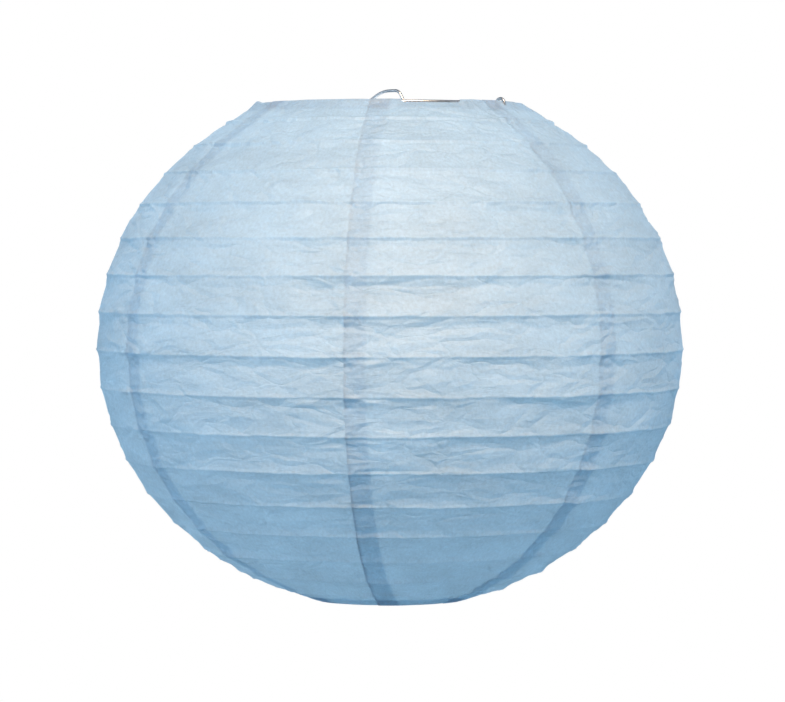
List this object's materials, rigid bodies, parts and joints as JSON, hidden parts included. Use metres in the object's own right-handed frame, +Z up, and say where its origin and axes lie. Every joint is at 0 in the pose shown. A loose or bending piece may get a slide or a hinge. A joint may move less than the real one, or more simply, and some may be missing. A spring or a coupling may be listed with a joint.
{
  "type": "paper lantern",
  "caption": "Round ribbed paper lantern: seven glued paper gores over wire hoops, two end rings and a wire expander with a hanging loop; folds flat.",
  "frame": {"origin": "where a hook bears inside the hanging loop, on the lantern's axis", "axes": "+Z up along the lantern's axis; -Y faces the front view"},
  "size_m": [0.2999, 0.3, 0.261],
  "materials": {
    "blue_paper": "thin matt crinkled tissue paper, pale blue, lets light through",
    "rib_wire": "thin white-coated steel wire",
    "ring_wire": "bright drawn steel wire",
    "expander_wire": "bright galvanised spring wire"
  },
  "bodies": {
    "expander": {"hanger_bow": "expander_wire", "uprights": "expander_wire", "hook_front": "expander_wire", "hook_back": "expander_wire", "foot_front": "expander_wire", "foot_back": "expander_wire"},
    "shell_top": {"top_ring": "ring_wire", "paper_gore_1": "blue_paper", "paper_gore_2": "blue_paper", "paper_gore_3": "blue_paper", "paper_gore_4": "blue_paper", "paper_gore_5": "blue_paper", "paper_gore_6": "blue_paper", "paper_gore_7": "blue_paper"},
    "shell_bottom": {"bottom_ring": "ring_wire"},
    "hoop_01": {"rib_hoop_01": "rib_wire"},
    "hoop_02": {"rib_hoop_02": "rib_wire"},
    "hoop_03": {"rib_hoop_03": "rib_wire"},
    "hoop_04": {"rib_hoop_04": "rib_wire"},
    "hoop_05": {"rib_hoop_05": "rib_wire"},
    "hoop_06": {"rib_hoop_06": "rib_wire"},
    "hoop_07": {"rib_hoop_07": "rib_wire"},
    "hoop_08": {"rib_hoop_08": "rib_wire"},
    "hoop_09": {"rib_hoop_09": "rib_wire"},
    "hoop_10": {"rib_hoop_10": "rib_wire"},
    "hoop_11": {"rib_hoop_11": "rib_wire"},
    "hoop_12": {"rib_hoop_12": "rib_wire"},
    "hoop_13": {"rib_hoop_13": "rib_wire"},
    "hoop_14": {"rib_hoop_14": "rib_wire"},
    "hoop_15": {"rib_hoop_15": "rib_wire"},
    "hoop_16": {"rib_hoop_16": "rib_wire"}
  },
  "joints": [
    {"name": "expander_lift", "type": "slide", "parent": "expander", "child": "shell_top", "axis": [0, 0, -1], "range_m": [0, 0.265], "deforming": ["hook_front", "hook_back", "foot_front", "foot_back"]},
    {"name": "collapse", "type": "slide", "parent": "shell_top", "child": "shell_bottom", "axis": [0, 0, 1], "range_m": [0, 0.2307], "deforming": ["paper_gore_1", "paper_gore_2", "paper_gore_3", "paper_gore_4", "paper_gore_5", "paper_gore_6", "paper_gore_7"]},
    {"name": "rib_01_stack", "type": "slide", "parent": "shell_top", "child": "hoop_01", "axis": [0, 0, 1], "range_m": [0, 0.00859]},
    {"name": "rib_02_stack", "type": "slide", "parent": "shell_top", "child": "hoop_02", "axis": [0, 0, 1], "range_m": [0, 0.01946]},
    {"name": "rib_03_stack", "type": "slide", "parent": "shell_top", "child": "hoop_03", "axis": [0, 0, 1], "range_m": [0, 0.03223]},
    {"name": "rib_04_stack", "type": "slide", "parent": "shell_top", "child": "hoop_04", "axis": [0, 0, 1], "range_m": [0, 0.04661]},
    {"name": "rib_05_stack", "type": "slide", "parent": "shell_top", "child": "hoop_05", "axis": [0, 0, 1], "range_m": [0, 0.06232]},
    {"name": "rib_06_stack", "type": "slide", "parent": "shell_top", "child": "hoop_06", "axis": [0, 0, 1], "range_m": [0, 0.07903]},
    {"name": "rib_07_stack", "type": "slide", "parent": "shell_top", "child": "hoop_07", "axis": [0, 0, 1], "range_m": [0, 0.09641]},
    {"name": "rib_08_stack", "type": "slide", "parent": "shell_top", "child": "hoop_08", "axis": [0, 0, 1], "range_m": [0, 0.1141]},
    {"name": "rib_09_stack", "type": "slide", "parent": "shell_top", "child": "hoop_09", "axis": [0, 0, 1], "range_m": [0, 0.13173]},
    {"name": "rib_10_stack", "type": "slide", "parent": "shell_top", "child": "hoop_10", "axis": [0, 0, 1], "range_m": [0, 0.14895]},
    {"name": "rib_11_stack", "type": "slide", "parent": "shell_top", "child": "hoop_11", "axis": [0, 0, 1], "range_m": [0, 0.16541]},
    {"name": "rib_12_stack", "type": "slide", "parent": "shell_top", "child": "hoop_12", "axis": [0, 0, 1], "range_m": [0, 0.18076]},
    {"name": "rib_13_stack", "type": "slide", "parent": "shell_top", "child": "hoop_13", "axis": [0, 0, 1], "range_m": [0, 0.19469]},
    {"name": "rib_14_stack", "type": "slide", "parent": "shell_top", "child": "hoop_14", "axis": [0, 0, 1], "range_m": [0, 0.20693]},
    {"name": "rib_15_stack", "type": "slide", "parent": "shell_top", "child": "hoop_15", "axis": [0, 0, 1], "range_m": [0, 0.21721]},
    {"name": "rib_16_stack", "type": "slide", "parent": "shell_top", "child": "hoop_16", "axis": [0, 0, 1], "range_m": [0, 0.22534]}
  ],
  "couplings": [
    {"joint": "rib_01_stack", "follows": "collapse", "ratio": 0.03635},
    {"joint": "rib_02_stack", "follows": "collapse", "ratio": 0.0835},
    {"joint": "rib_03_stack", "follows": "collapse", "ratio": 0.13882},
    {"joint": "rib_04_stack", "follows": "collapse", "ratio": 0.20116},
    {"joint": "rib_05_stack", "follows": "collapse", "ratio": 0.26925},
    {"joint": "rib_06_stack", "follows": "collapse", "ratio": 0.3417},
    {"joint": "rib_07_stack", "follows": "collapse", "ratio": 0.41703},
    {"joint": "rib_08_stack", "follows": "collapse", "ratio": 0.4937},
    {"joint": "rib_09_stack", "follows": "collapse", "ratio": 0.57014},
    {"joint": "rib_10_stack", "follows": "collapse", "ratio": 0.64478},
    {"joint": "rib_11_stack", "follows": "collapse", "ratio": 0.71611},
    {"joint": "rib_12_stack", "follows": "collapse", "ratio": 0.78265},
    {"joint": "rib_13_stack", "follows": "collapse", "ratio": 0.84306},
    {"joint": "rib_14_stack", "follows": "collapse", "ratio": 0.8961},
    {"joint": "rib_15_stack", "follows": "collapse", "ratio": 0.94068},
    {"joint": "rib_16_stack", "follows": "collapse", "ratio": 0.97589}
  ]
}
